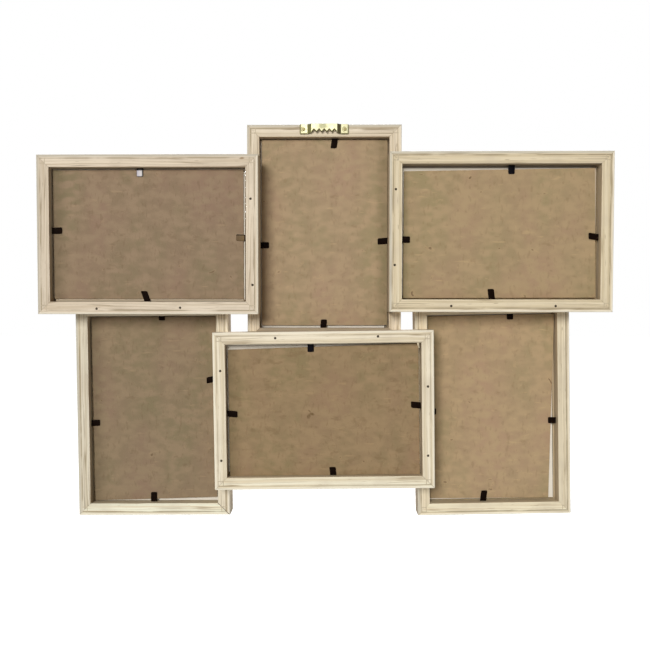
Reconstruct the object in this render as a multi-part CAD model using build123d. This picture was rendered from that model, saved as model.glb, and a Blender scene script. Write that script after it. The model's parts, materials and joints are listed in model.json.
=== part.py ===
from build123d import *
import os
from math import cos, radians, sin, sqrt

# Collage photo frame: three landscape frames nailed over three portrait frames
# X runs to the right as the back is seen, Y from the back to the picture side, Z up
# The origin is on the wall nail, under the hanger's middle notch, in the deeper layer's back plane

# Photographs and the room that a rabbet leaves round them
photo_width = 101.6
photo_length = 152.4
room_across = 3.4
room_along = 1.6

# Wooden moulding
moulding_thickness = 19.0
land_width = 9.75
lip_width = 6.0
lip_thickness = 9.0
back_edge_radius = 0.9
front_edge_radius = 4.0
sight_edge_radius = 1.5
mitre_gap = 0.1

# Glass, blank sheet and backing board
glass_thickness = 2.0
sheet_thickness = 0.3
board_thickness = 2.5
board_gap = 7.0
edge_clearance = 0.1

# Flexible tabs that hold the board, and their driven ends
tab_width = 5.0
tab_thickness = 0.4
tab_reach = 7.5
tab_corner_radius = 0.8
tab_board_gap = 0.2
tab_wall_gap = 0.1
root_share = 0.72

# Joining nails through the lapped rails
nail_radius = 0.6
nail_head_radius = 0.95
nail_head_height = 0.8
nail_set = 0.3
nail_point_length = 1.5
nail_point_share = 0.25
nail_bite_share = 0.47

# V-shaped nails in the mitred corners
corner_nail_thickness = 0.4
corner_nail_apex_share = 0.3
corner_nail_leg_share = 0.46
corner_nail_depth_share = 0.42

# Sawtooth hanger of bent sheet, and its two pins
hanger_sheet = 0.7
hanger_raise = 1.8
notch_count = 5
notch_pitch = 4.1
notch_depth = 2.3
notch_drop = 4.6
riser_run = 3.3
ear_length = 6.2
ear_height = 8.0
ear_corner_radius = 0.8
pin_radius = 0.65
pin_length = 10.0
pin_head_radius = 1.35
pin_head_height = 0.7

# Clearance of what is driven into wood, and the overrun of cuts
fit_clearance = 0.05
overrun = 2.0

# How far the frames lap and step, as shares of the land's width
upper_left_lap_share = 1.14
upper_right_lap_share = 1.16
lower_centre_lap_share = 0.8
left_column_lap_share = 0.83
right_column_lap_share = 0.83
lower_left_lap_share = 0.92
lower_right_lap_share = 1.2
upper_left_drop_share = 0.35
upper_right_drop_share = 0.16

# Small turns in degrees that the lower frames were nailed with
frame_turns = {
    "upper_left": 0,
    "upper_centre": 0,
    "upper_right": 0,
    "lower_left": 0.45,
    "lower_centre": 0.75,
    "lower_right": 1.2,
}

# Derived sizes
opening_width = photo_width + room_across
opening_length = photo_length + room_along
portrait_width = opening_width + 2 * land_width
portrait_height = opening_length + 2 * land_width
landscape_width = portrait_height
landscape_height = portrait_width
rabbet_depth = moulding_thickness - lip_thickness
glass_depth = rabbet_depth - glass_thickness
sheet_depth = glass_depth - sheet_thickness
board_depth = sheet_depth - board_thickness
tab_depth = board_depth - tab_board_gap - tab_thickness / 2
hinge_offset = tab_wall_gap + tab_thickness / 2
root_length = root_share * land_width
centre_width = notch_count * notch_pitch
hanger_half_length = centre_width / 2 + riser_run + ear_length
pin_place = centre_width / 2 + riser_run + ear_length / 2
pin_height = notch_drop - ear_height / 2

# Side names with the turn that brings a top rail there, and the sign of its run along X or Z
sides = {"top": (0, 1), "right": (90, -1), "bottom": (180, -1), "left": (270, 1)}

# Gaps to the rabbet's side and end walls at each board's corners, as shares of the widest, from
# the top right corner round to the top left one
board_gap_shares = {
    "upper_left": ((0.34, 0.17), (0.34, 0.33), (0.2, 0.33), (0.17, 0.21)),
    "upper_centre": ((0.17, 0.2), (0.17, 0.33), (0.21, 0.29), (0.21, 0.17)),
    "upper_right": ((0.51, 0.36), (0.23, 0.23), (0.21, 0.17), (0.29, 0.66)),
    "lower_left": ((0.17, 0.14), (0.21, 0.53), (0.31, 0.16), (0.19, 0.14)),
    "lower_centre": ((0.26, 0.11), (0.21, 0.04), (0.21, 0.02), (0.21, 0.61)),
    "lower_right": ((0.1, 0.14), (0.99, 0.29), (0.14, 0.43), (0.14, 0.14)),
}

# Each sheet's shift along X and Z, as shares of the play that it has
sheet_shift_shares = {
    "upper_left": (-0.95, 0.95),
    "upper_centre": (-0.95, -0.95),
    "upper_right": (-0.95, 0.95),
    "lower_left": (0.3, -0.6),
    "lower_centre": (-0.95, 0.95),
    "lower_right": (-0.41, 0.9),
}

# Each tab's place and lean along its rail, and its reach, as shares
tab_shares = {
    ("upper_left", "top"): (-0.089, 0, 0.89),
    ("upper_left", "right"): (-0.044, 0.05, 1.1),
    ("upper_left", "bottom"): (-0.02, -0.42, 1.13),
    ("upper_left", "left"): (0.066, 0.03, 1.09),
    ("upper_centre", "top"): (0.165, -0.18, 1.08),
    ("upper_centre", "right"): (-0.077, -0.1, 1.2),
    ("upper_centre", "bottom"): (-0.014, 0.08, 0.91),
    ("upper_centre", "left"): (-0.126, 0.02, 0.98),
    ("upper_right", "top"): (0.113, -0.02, 0.94),
    ("upper_right", "right"): (-0.073, 0.17, 1.05),
    ("upper_right", "bottom"): (-0.076, -0.14, 1.11),
    ("upper_right", "left"): (-0.106, 0.01, 0.91),
    ("lower_left", "top"): (0.136, 0.03, 0.5),
    ("lower_left", "right"): (0.328, -0.26, 1.21),
    ("lower_left", "bottom"): (-0.03, 0.02, 1.07),
    ("lower_left", "left"): (-0.148, 0.06, 0.95),
    ("lower_centre", "top"): (-0.127, -0.01, 0.88),
    ("lower_centre", "right"): (0.048, 0.12, 1.07),
    ("lower_centre", "bottom"): (0.089, -0.09, 0.89),
    ("lower_centre", "left"): (-0.044, -0.12, 1.12),
    ("lower_right", "top"): (0.302, 0, 0.65),
    ("lower_right", "right"): (-0.145, 0.02, 0.88),
    ("lower_right", "bottom"): (-0.153, 0.17, 1.17),
    ("lower_right", "left"): (-0.028, 0, 0.93),
}

# Joining nails: places along the upper rail's opening and across its land, as shares
nail_shares = {
    ("upper_left", "right", "upper_centre", "left"): ((0.525, 0.39), (-0.75, 0.53)),
    ("upper_left", "bottom", "lower_left", "top"): ((-0.524, 0.56), (0.329, 0.48)),
    ("upper_right", "left", "upper_centre", "right"): ((0.627, 0.5), (-0.489, 0.57)),
    ("upper_right", "bottom", "lower_right", "top"): ((-0.499, 0.52), (0.552, 0.52)),
    ("lower_centre", "top", "upper_centre", "bottom"): ((-0.485, 0.5), (0.56, 0.54)),
    ("lower_centre", "left", "lower_left", "right"): ((0.61, 0.4), (-0.741, 0.43)),
    ("lower_centre", "right", "lower_right", "left"): ((0.344, 0.49), (-0.692, 0.46)),
}


def frame_places():
    """Centre of each opening in X and Z, from the laps between the frames."""
    across = (portrait_width + landscape_width) / 2
    down = (portrait_height + landscape_height) / 2
    top_z = notch_drop - portrait_height / 2
    left_z = top_z - upper_left_drop_share * land_width
    right_z = top_z - upper_right_drop_share * land_width
    low_z = top_z - down + lower_centre_lap_share * land_width
    low_left_z = left_z - down + left_column_lap_share * land_width
    low_right_z = right_z - down + right_column_lap_share * land_width
    return {
        "upper_left": (-across + upper_left_lap_share * land_width, left_z),
        "upper_centre": (0, top_z),
        "upper_right": (across - upper_right_lap_share * land_width, right_z),
        "lower_left": (-across + lower_left_lap_share * land_width, low_left_z),
        "lower_centre": (0, low_z),
        "lower_right": (across - lower_right_lap_share * land_width, low_right_z),
    }


places = frame_places()
landscape_frames = ("upper_left", "upper_right", "lower_centre")


def back_plane(frame):
    """The landscape frames stand one moulding thickness behind the portrait ones."""
    return -moulding_thickness if frame in landscape_frames else 0


def opening_size(frame):
    """Rabbet size in X and Z."""
    if frame in landscape_frames:
        return opening_length, opening_width
    return opening_width, opening_length


def rail_opening(frame, side):
    """Rabbet length along a rail."""
    width, height = opening_size(frame)
    return width if side in ("top", "bottom") else height


def frame_seat(frame):
    """Place of a frame, in its back plane at the middle of its opening, with its turn."""
    x, z = places[frame]
    return Pos(x, back_plane(frame), z) * Rot(0, -frame_turns[frame], 0)


def rail_seat(frame, side):
    """Place of a rail whose own axes are X along it, Y into the frame's depth, Z outwards."""
    width, height = opening_size(frame)
    reach = height / 2 if side in ("top", "bottom") else width / 2
    turn, _ = sides[side]
    return frame_seat(frame) * Rot(0, turn, 0) * Pos(0, 0, reach)


def round_corner(face, corner, radius):
    """Round the face's corner nearest to a point."""
    return fillet(face.vertices().sort_by_distance(corner)[0], radius)


def rail_section():
    """L-shaped section in depth and width: a land round the rabbet and a lip before the glass."""
    outline = Polyline(
        (0, 0),
        (0, land_width),
        (moulding_thickness, land_width),
        (moulding_thickness, -lip_width),
        (rabbet_depth, -lip_width),
        (rabbet_depth, 0),
        close=True,
    )
    face = make_face(outline)
    face = round_corner(face, (0, land_width, 0), back_edge_radius)
    face = round_corner(face, (moulding_thickness, land_width, 0), front_edge_radius)
    return round_corner(face, (moulding_thickness, -lip_width, 0), sight_edge_radius)


def mitred_rail(opening):
    """One rail of moulding with both ends cut to the mitre."""
    half = opening / 2
    saw = mitre_gap / sqrt(2)
    bar = extrude(Plane.YZ * rail_section(), amount=half + land_width, both=True)
    plan = Polyline(
        (-half - land_width + saw, land_width),
        (half + land_width - saw, land_width),
        (half - lip_width - saw, -lip_width),
        (-half + lip_width + saw, -lip_width),
        close=True,
    )
    return bar & extrude(Plane.XZ * make_face(plan), amount=moulding_thickness + overrun, both=True)


def tab_place(frame, side):
    """Root of a tab along its rail, its sideways lean and its reach, in the rail's own axes."""
    place, lean, reach = tab_shares[frame, side]
    sign = sides[side][1]
    along = sign * place * rail_opening(frame, side) / 2
    return along, sign * lean * tab_reach, reach * tab_reach


def tab_blade(frame, side):
    """Exposed half of a flexible tab, with a round bend along its root."""
    along, lean, reach = tab_place(frame, side)
    half = tab_width / 2
    plan = Polyline(
        (along - half, -hinge_offset),
        (along + half, -hinge_offset),
        (along + half + lean, -reach),
        (along - half + lean, -reach),
        close=True,
    )
    face = make_face(plan)
    face = round_corner(face, (along + half + lean, -reach, 0), tab_corner_radius)
    face = round_corner(face, (along - half + lean, -reach, 0), tab_corner_radius)
    blade = extrude(Plane.XZ * face, amount=tab_thickness / 2, both=True)
    bend = Pos(along, 0, -hinge_offset) * Rot(0, 90, 0) * Cylinder(tab_thickness / 2, tab_width)
    return rail_seat(frame, side) * Pos(0, tab_depth, 0) * (blade + bend)


def root_box(frame, side, width, thickness, length):
    """Box driven into a rail from its rabbet wall at a tab's place."""
    along = tab_place(frame, side)[0]
    return rail_seat(frame, side) * Pos(along, tab_depth, length / 2) * Box(width, thickness, length)


def tab_root(frame, side):
    """Driven half of a flexible tab, inside the rail."""
    return root_box(frame, side, tab_width, tab_thickness, root_length)


def root_slot(frame, side):
    """Slot that a driven tab end leaves in the rail."""
    width = tab_width + 2 * fit_clearance
    thickness = tab_thickness + 2 * fit_clearance
    return root_box(frame, side, width, thickness, root_length + fit_clearance)


def corner_nail(frame, corner, clearance):
    """V-shaped nail across a mitre, one leg in each rail, or its slot with a clearance."""
    width, height = opening_size(frame)
    right, up = corner
    apex = corner_nail_apex_share * land_width
    leg = corner_nail_leg_share * land_width + clearance
    thickness = corner_nail_thickness + 2 * clearance
    depth = corner_nail_depth_share * moulding_thickness + clearance
    start = apex - thickness / 2
    flat = Pos(start + leg / 2, depth / 2, apex) * Box(leg, depth, thickness)
    upright = Pos(apex, depth / 2, start + leg / 2) * Box(thickness, depth, leg)
    turn = {(1, 1): 0, (1, -1): 90, (-1, -1): 180, (-1, 1): 270}[corner]
    corner_seat = frame_seat(frame) * Pos(right * width / 2, 0, up * height / 2)
    return corner_seat * Rot(0, turn, 0) * (flat + upright)


corners = ((1, 1), (1, -1), (-1, -1), (-1, 1))
side_corners = {
    "top": ((1, 1), (-1, 1)),
    "right": ((1, 1), (1, -1)),
    "bottom": ((1, -1), (-1, -1)),
    "left": ((-1, -1), (-1, 1)),
}


def nail_seats(key):
    """Places of the joining nails through one lap, in the back plane of the upper rail."""
    frame, side, _, _ = key
    sign = sides[side][1]
    seat = rail_seat(frame, side)
    half = rail_opening(frame, side) / 2
    points = [(sign * along * half, across * land_width) for along, across in nail_shares[key]]
    return [seat * Pos(x, 0, z) for x, z in points]


def depth_cylinder(start, length, radius):
    """Cylinder along the depth, from a start behind its place."""
    return Pos(0, start + length / 2, 0) * Rot(90, 0, 0) * Cylinder(radius, length)


nail_end = moulding_thickness * (1 + nail_bite_share)


def joining_nail():
    """Headed nail, set a little under the wood, through one rail and into the next."""
    head = depth_cylinder(nail_set, nail_head_height, nail_head_radius)
    shank_end = nail_end - nail_point_length
    shank = depth_cylinder(nail_set, shank_end - nail_set, nail_radius)
    point = Cone(nail_point_share * nail_radius, nail_radius, nail_point_length)
    return head + shank + Pos(0, shank_end + nail_point_length / 2, 0) * Rot(90, 0, 0) * point


def joining_hole():
    """Hole that a joining nail leaves in both rails."""
    head_length = nail_set + nail_head_height + fit_clearance + overrun
    head = depth_cylinder(-overrun, head_length, nail_head_radius + fit_clearance)
    return head + depth_cylinder(0, nail_end + fit_clearance, nail_radius + fit_clearance)


def pin_seats():
    """Places of the two hanger pins in the deeper layer's back plane."""
    return [Pos(sign * pin_place, 0, pin_height) for sign in (-1, 1)]


def hanger_pin():
    """Round-headed pin that holds one ear of the hanger."""
    head_start = -hanger_sheet - pin_head_height
    head = depth_cylinder(head_start, pin_head_height, pin_head_radius)
    outer_rim = head.faces().sort_by(Axis.Y)[0].edges()
    head = fillet(outer_rim, pin_head_height / 2)
    shank_end = pin_length - nail_point_length
    shank = depth_cylinder(-hanger_sheet, shank_end + hanger_sheet, pin_radius)
    point = Cone(nail_point_share * pin_radius, pin_radius, nail_point_length)
    return head + shank + Pos(0, shank_end + nail_point_length / 2, 0) * Rot(90, 0, 0) * point


def pin_hole():
    """Hole that a hanger pin leaves in the ear and the rail."""
    start = -hanger_sheet - overrun
    return depth_cylinder(start, pin_length + fit_clearance - start, pin_radius + fit_clearance)


def bent_strip():
    """The hanger's sheet seen from above: flat ears, sloped risers, raised centre."""
    half = centre_width / 2
    foot = half + riser_run
    inner = [(-hanger_half_length, 0), (-foot, 0), (-half, -hanger_raise)]
    inner += [(-x, y) for x, y in reversed(inner)]
    outer = [(x, y - hanger_sheet) for x, y in reversed(inner)]
    return extrude(make_face(Polyline(*inner, *outer, close=True)), amount=ear_height, both=True)


def hanger_outline():
    """The hanger seen from the back: ears, and a centre with a serrated lower edge."""
    half = centre_width / 2
    ear_bottom = notch_drop - ear_height
    foot = half + riser_run
    edge = [(-foot, ear_bottom)]
    for notch in range(notch_count):
        tip = -half + notch * notch_pitch
        edge += [(tip, -notch_depth), (tip + notch_pitch / 2, 0)]
    edge += [(half, -notch_depth), (foot, ear_bottom)]
    ends = [(hanger_half_length, ear_bottom), (hanger_half_length, notch_drop)]
    ends += [(-hanger_half_length, notch_drop), (-hanger_half_length, ear_bottom)]
    face = make_face(Polyline(*edge, *ends, close=True))
    for x, z in ends:
        face = round_corner(face, (x, z, 0), ear_corner_radius)
    return extrude(Plane.XZ * face, amount=hanger_raise + hanger_sheet + overrun, both=True)


def sawtooth_hanger():
    """Bent and serrated sheet with a pin hole in each ear."""
    hanger = bent_strip() & hanger_outline()
    for seat in pin_seats():
        hanger -= seat * pin_hole()
    return hanger


def flat_slab(frame, thickness, depth, shift_shares):
    """Pane or sheet as large as the photograph, shifted within the play that it has."""
    room = opening_size(frame)
    size = (photo_length, photo_width) if frame in landscape_frames else (photo_width, photo_length)
    play = [(room[i] - size[i]) / 2 - edge_clearance for i in (0, 1)]
    shift = [share * free for share, free in zip(shift_shares, play)]
    seat = frame_seat(frame) * Pos(shift[0], depth + thickness / 2, shift[1])
    return seat * Box(size[0], thickness, size[1])


def glass_pane(frame):
    """Clear pane against the lip."""
    return flat_slab(frame, glass_thickness, glass_depth, (0, 0))


def blank_sheet(frame):
    """White sheet behind the glass, where the photograph goes."""
    return flat_slab(frame, sheet_thickness, sheet_depth, sheet_shift_shares[frame])


def backing_board(frame):
    """Hardboard that closes the rabbet, sawn by hand a little small and out of square."""
    room = opening_size(frame)
    outline = []
    for (side, end), (side_gap_share, end_gap_share) in zip(corners, board_gap_shares[frame]):
        x = side * (room[0] / 2 - side_gap_share * board_gap)
        z = end * (room[1] / 2 - end_gap_share * board_gap)
        outline.append((x, board_depth, z))
    face = make_face(Polyline(*outline, close=True))
    return frame_seat(frame) * extrude(face, amount=board_thickness, dir=(0, 1, 0))


def rail_with_cuts(frame, side):
    """A rail with the slots and holes of what is driven into it."""
    rail = rail_seat(frame, side) * mitred_rail(rail_opening(frame, side))
    rail -= root_slot(frame, side)
    for corner in side_corners[side]:
        rail -= corner_nail(frame, corner, fit_clearance)
    for key in nail_shares:
        if (frame, side) in (key[:2], key[2:]):
            for seat in nail_seats(key):
                rail -= seat * joining_hole()
    if (frame, side) == ("upper_centre", "top"):
        for seat in pin_seats():
            rail -= seat * pin_hole()
    return rail


def write(node, pieces):
    """Write one node as a STEP file."""
    export_step(Compound(pieces), os.path.join("parts", node + ".step"))


def solids_of(shapes):
    """Separate solids of several shapes."""
    return [solid for shape in shapes for solid in shape.solids()]


os.makedirs("parts", exist_ok=True)
for frame in places:
    for side in sides:
        write(f"{frame}_rail_{side}", rail_with_cuts(frame, side).solids())
        write(f"{frame}_tab_{side}", tab_blade(frame, side).solids())
    write(f"{frame}_backing_board", backing_board(frame).solids())
write("glass_panes", solids_of(glass_pane(frame) for frame in places))
write("photo_inserts", solids_of(blank_sheet(frame) for frame in places))
write("tab_roots", solids_of(tab_root(frame, side) for frame, side in tab_shares))
write("corner_nails", solids_of(corner_nail(frame, corner, 0) for frame in places for corner in corners))
lap_nails = [seat * joining_nail() for key in nail_shares for seat in nail_seats(key)]
hanger_pins = [seat * hanger_pin() for seat in pin_seats()]
write("nails", solids_of(lap_nails + hanger_pins))
write("sawtooth_hanger", sawtooth_hanger().solids())
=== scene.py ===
import json
import math

import bpy
from mathutils import Matrix, Vector


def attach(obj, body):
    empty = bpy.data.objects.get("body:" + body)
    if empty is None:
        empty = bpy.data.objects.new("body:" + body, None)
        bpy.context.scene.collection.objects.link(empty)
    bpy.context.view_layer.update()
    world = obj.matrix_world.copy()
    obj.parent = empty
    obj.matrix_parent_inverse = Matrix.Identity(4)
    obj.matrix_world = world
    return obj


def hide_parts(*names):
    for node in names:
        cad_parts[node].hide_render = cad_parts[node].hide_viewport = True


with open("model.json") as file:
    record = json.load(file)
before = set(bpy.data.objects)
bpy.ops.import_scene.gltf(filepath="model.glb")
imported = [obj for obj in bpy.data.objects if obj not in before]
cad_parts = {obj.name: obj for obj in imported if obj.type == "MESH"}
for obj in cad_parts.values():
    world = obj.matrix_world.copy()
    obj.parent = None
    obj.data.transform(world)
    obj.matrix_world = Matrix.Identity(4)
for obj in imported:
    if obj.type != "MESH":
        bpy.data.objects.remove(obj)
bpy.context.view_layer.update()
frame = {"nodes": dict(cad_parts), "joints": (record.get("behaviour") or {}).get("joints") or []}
nodes = frame["nodes"]
MM = 0.001

# The moulding and its openings, in metres
LAND = 9.75 * MM
LONG_OPENING = 154.0 * MM
SHORT_OPENING = 105.0 * MM

# Centre of each frame in X and Z, its small turn in degrees, and its back plane
FRAMES = {
    "upper_left": (-137.885, -85.562, 0, -19),
    "upper_centre": (0, -82.15, 0, 0),
    "upper_right": (137.69, -83.71, 0, -19),
    "lower_left": (-140.03, -226.47, 0.45, 0),
    "lower_centre": (0, -223.35, 0.75, -19),
    "lower_right": (137.3, -224.62, 1.2, 0),
}
SIDES = {"top": 0, "right": 90, "bottom": 180, "left": 270}


def srgb(red, green, blue):
    """A colour as seen, in 0 to 255, as Blender's linear values."""
    linear = []
    for value in (red, green, blue):
        v = value / 255
        linear.append(v / 12.92 if v <= 0.04045 else ((v + 0.055) / 1.055) ** 2.4)
    return (*linear, 1)


def tinted(tone, red, green, blue):
    """A tone with each of its channels multiplied."""
    return [min(1, value * factor) for value, factor in zip(tone, (red, green, blue))] + [1]


# Node helpers


class Bench:
    """Adds nodes to one material or node group and joins them."""

    def __init__(self, tree):
        self.tree = tree

    def add(self, kind, **settings):
        node = self.tree.nodes.new(kind)
        for name, value in settings.items():
            setattr(node, name, value)
        return node

    def join(self, source, socket):
        if isinstance(source, bpy.types.NodeSocket):
            self.tree.links.new(source, socket)
        elif source is not None:
            socket.default_value = source

    def sum(self, operation, *values):
        node = self.add("ShaderNodeMath", operation=operation)
        for value, socket in zip(values, node.inputs):
            self.join(value, socket)
        return node.outputs[0]

    def stretch(self, vector, scale, offset=(0, 0, 0)):
        scaled = self.add("ShaderNodeVectorMath", operation="MULTIPLY_ADD")
        self.join(vector, scaled.inputs[0])
        scaled.inputs[1].default_value = scale
        scaled.inputs[2].default_value = offset
        return scaled.outputs[0]

    def parts(self, vector):
        node = self.add("ShaderNodeSeparateXYZ")
        self.join(vector, node.inputs[0])
        return node.outputs[0], node.outputs[1], node.outputs[2]

    def noise(self, vector, seed, detail, scale=1.0, roughness=0.55, distortion=0.0):
        node = self.add("ShaderNodeTexNoise", noise_dimensions="4D")
        self.join(vector, node.inputs["Vector"])
        self.join(seed, node.inputs["W"])
        node.inputs["Scale"].default_value = scale
        node.inputs["Detail"].default_value = detail
        node.inputs["Roughness"].default_value = roughness
        node.inputs["Distortion"].default_value = distortion
        return node.outputs["Fac"]

    def fade(self, value, low, high, start=0.0, end=1.0):
        node = self.add("ShaderNodeMapRange", interpolation_type="SMOOTHSTEP")
        self.join(value, node.inputs["Value"])
        for name, number in zip(("From Min", "From Max", "To Min", "To Max"), (low, high, start, end)):
            self.join(number, node.inputs[name])
        return node.outputs["Result"]

    def line(self, value, middle, near, far, strength=1):
        """The strength close to the middle value, fading out to 0 on both sides."""
        off = self.sum("ABSOLUTE", self.sum("SUBTRACT", value, middle))
        return self.fade(off, near, far, strength, 0)

    def blend(self, amount, first, second, how="MIX"):
        node = self.add("ShaderNodeMix", data_type="RGBA", blend_type=how)
        self.join(amount, node.inputs["Factor"])
        self.join(first, node.inputs["A"])
        self.join(second, node.inputs["B"])
        return node.outputs["Result"]


def new_group(name, inputs, outputs):
    """A node group with named sockets, its bench, and its input and output nodes."""
    group = bpy.data.node_groups.new(name, "ShaderNodeTree")
    kinds = {"v": "NodeSocketVector", "f": "NodeSocketFloat", "c": "NodeSocketColor"}
    for label, kind, value in inputs:
        socket = group.interface.new_socket(label, in_out="INPUT", socket_type=kinds[kind])
        if value is not None:
            socket.default_value = value
    for label, kind in outputs:
        group.interface.new_socket(label, in_out="OUTPUT", socket_type=kinds[kind])
    bench = Bench(group)
    return group, bench, bench.add("NodeGroupInput"), bench.add("NodeGroupOutput")


def use_group(bench, group, **values):
    node = bench.add("ShaderNodeGroup")
    node.node_tree = group
    for label, value in values.items():
        bench.join(value, node.inputs[label.replace("_", " ")])
    return node


def new_material(name):
    material = bpy.data.materials.new(name)
    material.use_nodes = True
    material.node_tree.nodes.clear()
    bench = Bench(material.node_tree)
    shader = bench.add("ShaderNodeBsdfPrincipled")
    output = bench.add("ShaderNodeOutputMaterial")
    bench.join(shader.outputs[0], output.inputs["Surface"])
    return material, bench, shader


def bump(bench, height, distance, strength):
    node = bench.add("ShaderNodeBump")
    node.inputs["Strength"].default_value = strength
    node.inputs["Distance"].default_value = distance
    bench.join(height, node.inputs["Height"])
    return node.outputs["Normal"]


def object_place(bench):
    return bench.add("ShaderNodeTexCoord").outputs["Object"]


def near_spot(bench, place, middle, reach, lean=0):
    """1 in the middle of an oval spot, 0 beyond its reach along each axis, in millimetres."""
    oval = bench.add("ShaderNodeMapping", vector_type="TEXTURE")
    oval.inputs["Location"].default_value = [value * MM for value in middle]
    oval.inputs["Rotation"].default_value = (0, math.radians(lean), 0)
    oval.inputs["Scale"].default_value = [length * MM for length in reach]
    bench.join(place, oval.inputs["Vector"])
    away = bench.add("ShaderNodeVectorMath", operation="LENGTH")
    bench.join(oval.outputs[0], away.inputs[0])
    return bench.fade(away.outputs["Value"], 0.3, 1, 1, 0)


def inside_box(bench, place, low, high, soft):
    """1 inside an upright box in X and Z, fading out over the soft distance."""
    x, _, z = bench.parts(place)
    spans = []
    for value, start, end in ((x, low[0], high[0]), (z, low[1], high[1])):
        past_start = bench.fade(value, start - soft, start + soft)
        before_end = bench.fade(value, end - soft, end + soft, 1, 0)
        spans.append(bench.sum("MULTIPLY", past_start, before_end))
    return bench.sum("MULTIPLY", *spans)


# Shared effects


def make_streaky_grain():
    """Straight pale grain along X: long even lines, thin dark ones, fine fibres and short dashes."""
    group, b, given, result = new_group(
        "streaky_grain",
        [
            ("Place", "v", None),
            ("Seed", "f", 0.0),
            ("Pale", "c", (1, 1, 1, 1)),
            ("Streak", "c", (0, 0, 0, 1)),
            ("Fleck", "c", (0, 0, 0, 1)),
        ],
        [("Colour", "c"), ("Roughness", "f"), ("Height", "f")],
    )
    place, seed = given.outputs["Place"], given.outputs["Seed"]
    slow = b.noise(b.stretch(place, (11, 40, 40)), seed, detail=1)
    quick = b.noise(b.stretch(place, (55, 60, 60), (4, 1, 7)), seed, detail=2)
    slow_drift = b.sum("MULTIPLY", b.sum("SUBTRACT", slow, 0.5), 3.6 * MM)
    quick_drift = b.sum("MULTIPLY", b.sum("SUBTRACT", quick, 0.5), 0.7 * MM)
    drift = b.sum("ADD", slow_drift, quick_drift)
    shift = b.add("ShaderNodeCombineXYZ")
    b.join(drift, shift.inputs[2])
    moved = b.add("ShaderNodeVectorMath", operation="ADD")
    b.join(place, moved.inputs[0])
    b.join(shift.outputs[0], moved.inputs[1])
    drifted = moved.outputs[0]
    broad = b.noise(b.stretch(drifted, (3, 260, 260)), seed, detail=1, roughness=0.5)
    lines = b.noise(b.stretch(drifted, (5, 640, 640), (3, 5, 2)), seed, detail=2, roughness=0.6)
    veins = b.noise(b.stretch(drifted, (7, 480, 480), (1, 8, 4)), seed, detail=1)
    fibres = b.noise(b.stretch(drifted, (38, 1900, 1900)), seed, detail=3, roughness=0.65)
    dashes = b.noise(b.stretch(drifted, (120, 1500, 1500), (7, 3, 1)), seed, detail=1)
    colour = b.blend(b.fade(broad, 0.42, 0.64, 0, 0.5), given.outputs["Pale"], given.outputs["Streak"])
    colour = b.blend(b.fade(lines, 0.48, 0.62, 0, 0.9), colour, given.outputs["Streak"])
    vein = b.line(veins, 0.5, 0.006, 0.04)
    patches = b.noise(b.stretch(drifted, (22, 90, 90), (2, 2, 9)), seed, detail=2)
    strong = b.fade(patches, 0.42, 0.6, 0.1, 0.75)
    colour = b.blend(b.sum("MULTIPLY", vein, strong), colour, given.outputs["Fleck"])
    colour = b.blend(b.fade(fibres, 0.52, 0.76, 0, 0.5), colour, given.outputs["Streak"])
    colour = b.blend(b.fade(dashes, 0.66, 0.76, 0, 0.6), colour, given.outputs["Fleck"])
    height = b.sum("SUBTRACT", b.sum("MULTIPLY", fibres, 0.6), b.sum("MULTIPLY", vein, 0.25))
    b.join(colour, result.inputs["Colour"])
    b.join(b.fade(lines, 0.3, 0.7, 0.55, 0.75), result.inputs["Roughness"])
    b.join(b.sum("ADD", height, b.sum("MULTIPLY", lines, 0.4)), result.inputs["Height"])
    return group


def make_soft_soiling():
    """Cloudy handling marks at two sizes."""
    group, b, given, result = new_group(
        "soft_soiling",
        [("Place", "v", None), ("Seed", "f", 0.0), ("Large", "f", 30.0), ("Small", "f", 260.0)],
        [("Clouds", "f"), ("Specks", "f")],
    )
    clouds = b.add("ShaderNodeTexNoise", noise_dimensions="4D")
    specks = b.add("ShaderNodeTexNoise", noise_dimensions="4D")
    for node, size in ((clouds, "Large"), (specks, "Small")):
        b.join(given.outputs["Place"], node.inputs["Vector"])
        b.join(given.outputs["Seed"], node.inputs["W"])
        b.join(given.outputs[size], node.inputs["Scale"])
    clouds.inputs["Detail"].default_value = 4
    specks.inputs["Detail"].default_value = 3
    b.join(clouds.outputs["Fac"], result.inputs["Clouds"])
    b.join(specks.outputs["Fac"], result.inputs["Specks"])
    return group


def make_scuffed_metal():
    """Fine random scratches and rubbed patches on thin metal."""
    group, b, given, result = new_group(
        "scuffed_metal",
        [("Place", "v", None), ("Seed", "f", 0.0)],
        [("Rubbed", "f"), ("Scratches", "f")],
    )
    place, seed = given.outputs["Place"], given.outputs["Seed"]
    rubbed = b.noise(b.stretch(place, (420, 420, 420)), seed, detail=4, roughness=0.6)
    one_way = b.noise(b.stretch(place, (260, 2600, 5200)), seed, detail=2)
    other_way = b.noise(b.stretch(place, (4600, 2600, 300)), seed, detail=2)
    b.join(rubbed, result.inputs["Rubbed"])
    b.join(b.sum("MAXIMUM", one_way, other_way), result.inputs["Scratches"])
    return group


streaky_grain = make_streaky_grain()
soft_soiling = make_soft_soiling()
scuffed_metal = make_scuffed_metal()

# Wood


def frame_seat(name):
    x, z, turn, back = FRAMES[name]
    return Matrix.Translation((x * MM, back * MM, z * MM)) @ Matrix.Rotation(-math.radians(turn), 4, "Y")


def opening(name, side):
    """Opening's length along a rail, and across to the opposite rail."""
    wide = name in ("upper_left", "upper_right", "lower_centre")
    width, height = (LONG_OPENING, SHORT_OPENING) if wide else (SHORT_OPENING, LONG_OPENING)
    return (width, height) if side in ("top", "bottom") else (height, width)


def rail_seat(name, side):
    """A rail's own axes: X along it, Y into the depth, Z outwards from the rabbet's edge."""
    reach = opening(name, side)[1] / 2
    turn = Matrix.Rotation(math.radians(SIDES[side]), 4, "Y")
    return frame_seat(name) @ turn @ Matrix.Translation((0, 0, reach))


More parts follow.
